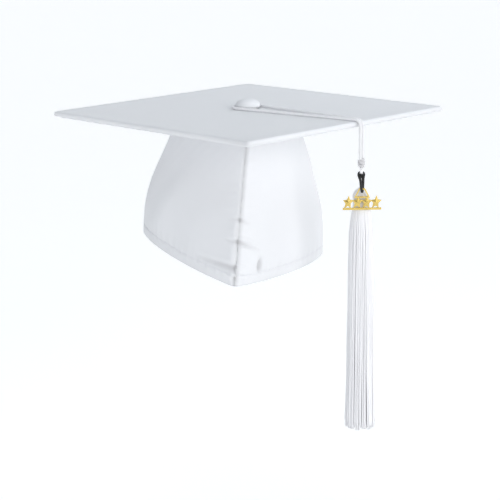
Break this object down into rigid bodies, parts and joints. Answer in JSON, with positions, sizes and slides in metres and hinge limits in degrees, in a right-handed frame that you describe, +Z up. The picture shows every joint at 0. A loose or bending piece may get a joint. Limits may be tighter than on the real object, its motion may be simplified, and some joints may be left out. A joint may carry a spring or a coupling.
{
  "type": "graduation cap",
  "caption": "Square cloth-covered board on a soft two-panel skull cap, with a covered button, a corded tassel that hangs over the edge and a small gilt charm.",
  "frame": {"origin": "centre of the flat crown that bears on the wearer's head: the underside of the stiffener inside the skull cap, straight under the board's centre", "axes": "+Z up and square to the board; -Y to the wearer's front, where a corner of the board points; +X to the wearer's left, the side that the tassel hangs on"},
  "size_m": [0.3294, 0.3294, 0.2652],
  "materials": {
    "satin_cloth": "satin",
    "card": "matte",
    "buckram": "matte",
    "white_elastic": "matte",
    "plastic": "satin",
    "steel": "satin",
    "rayon_yarn": "satin",
    "gilt_metal": "polished",
    "black_elastic": "matte"
  },
  "bodies": {
    "cap": {"board_core": "card", "board_top_cover": "satin_cloth", "board_under_cover": "satin_cloth", "button_shell": "plastic", "button_cover": "satin_cloth", "button_back": "plastic", "button_rivet": "steel", "button_washer": "steel", "skull_panel_left": "satin_cloth", "skull_panel_right": "satin_cloth", "lining_left": "buckram", "lining_right": "buckram", "crown_cloth": "satin_cloth", "crown_stiffener": "buckram", "sweatband": "white_elastic", "rear_elastic": "white_elastic", "elastic_casing": "satin_cloth", "front_seam_tape": "white_elastic", "back_seam_tape": "white_elastic"},
    "loop": {"loop_over_board": "rayon_yarn", "loop_bend_left": "rayon_yarn", "loop_bend_right": "rayon_yarn"},
    "drop": {"loop_drop_left": "rayon_yarn", "loop_drop_right": "rayon_yarn"},
    "knot": {"loop_knot": "rayon_yarn"},
    "tassel": {"tassel_neck": "rayon_yarn", "tassel_head": "rayon_yarn", "head_binding": "rayon_yarn", "fringe": "rayon_yarn"},
    "charm": {"charm": "gilt_metal", "charm_loop": "black_elastic"}
  },
  "joints": [
    {"name": "loop_turn", "type": "hinge", "parent": "cap", "child": "loop", "pos_m": [0, 0, 0.0083], "axis": [0, 0, 1], "range_deg": [-12, 4]},
    {"name": "drop_swing", "type": "hinge", "parent": "loop", "child": "drop", "pos_m": [0.09013, -0.08058, 0.0098], "axis": [-0.6665, -0.7455, 0], "range_deg": [-4, 85], "deforming": ["loop_bend_left", "loop_bend_right"]},
    {"name": "tassel_twist", "type": "hinge", "parent": "drop", "child": "knot", "pos_m": [0.09013, -0.08058, -0.02], "axis": [0, 0, 1], "range_deg": [-180, 180]},
    {"name": "tassel_sway", "type": "hinge", "parent": "knot", "child": "tassel", "pos_m": [0.09013, -0.08058, -0.03], "axis": [0.7455, -0.6665, 0], "range_deg": [-25, 25]},
    {"name": "charm_swing", "type": "hinge", "parent": "tassel", "child": "charm", "pos_m": [0.09013, -0.07808, -0.0329], "axis": [-1, 0, 0], "range_deg": [0, 60]}
  ]
}
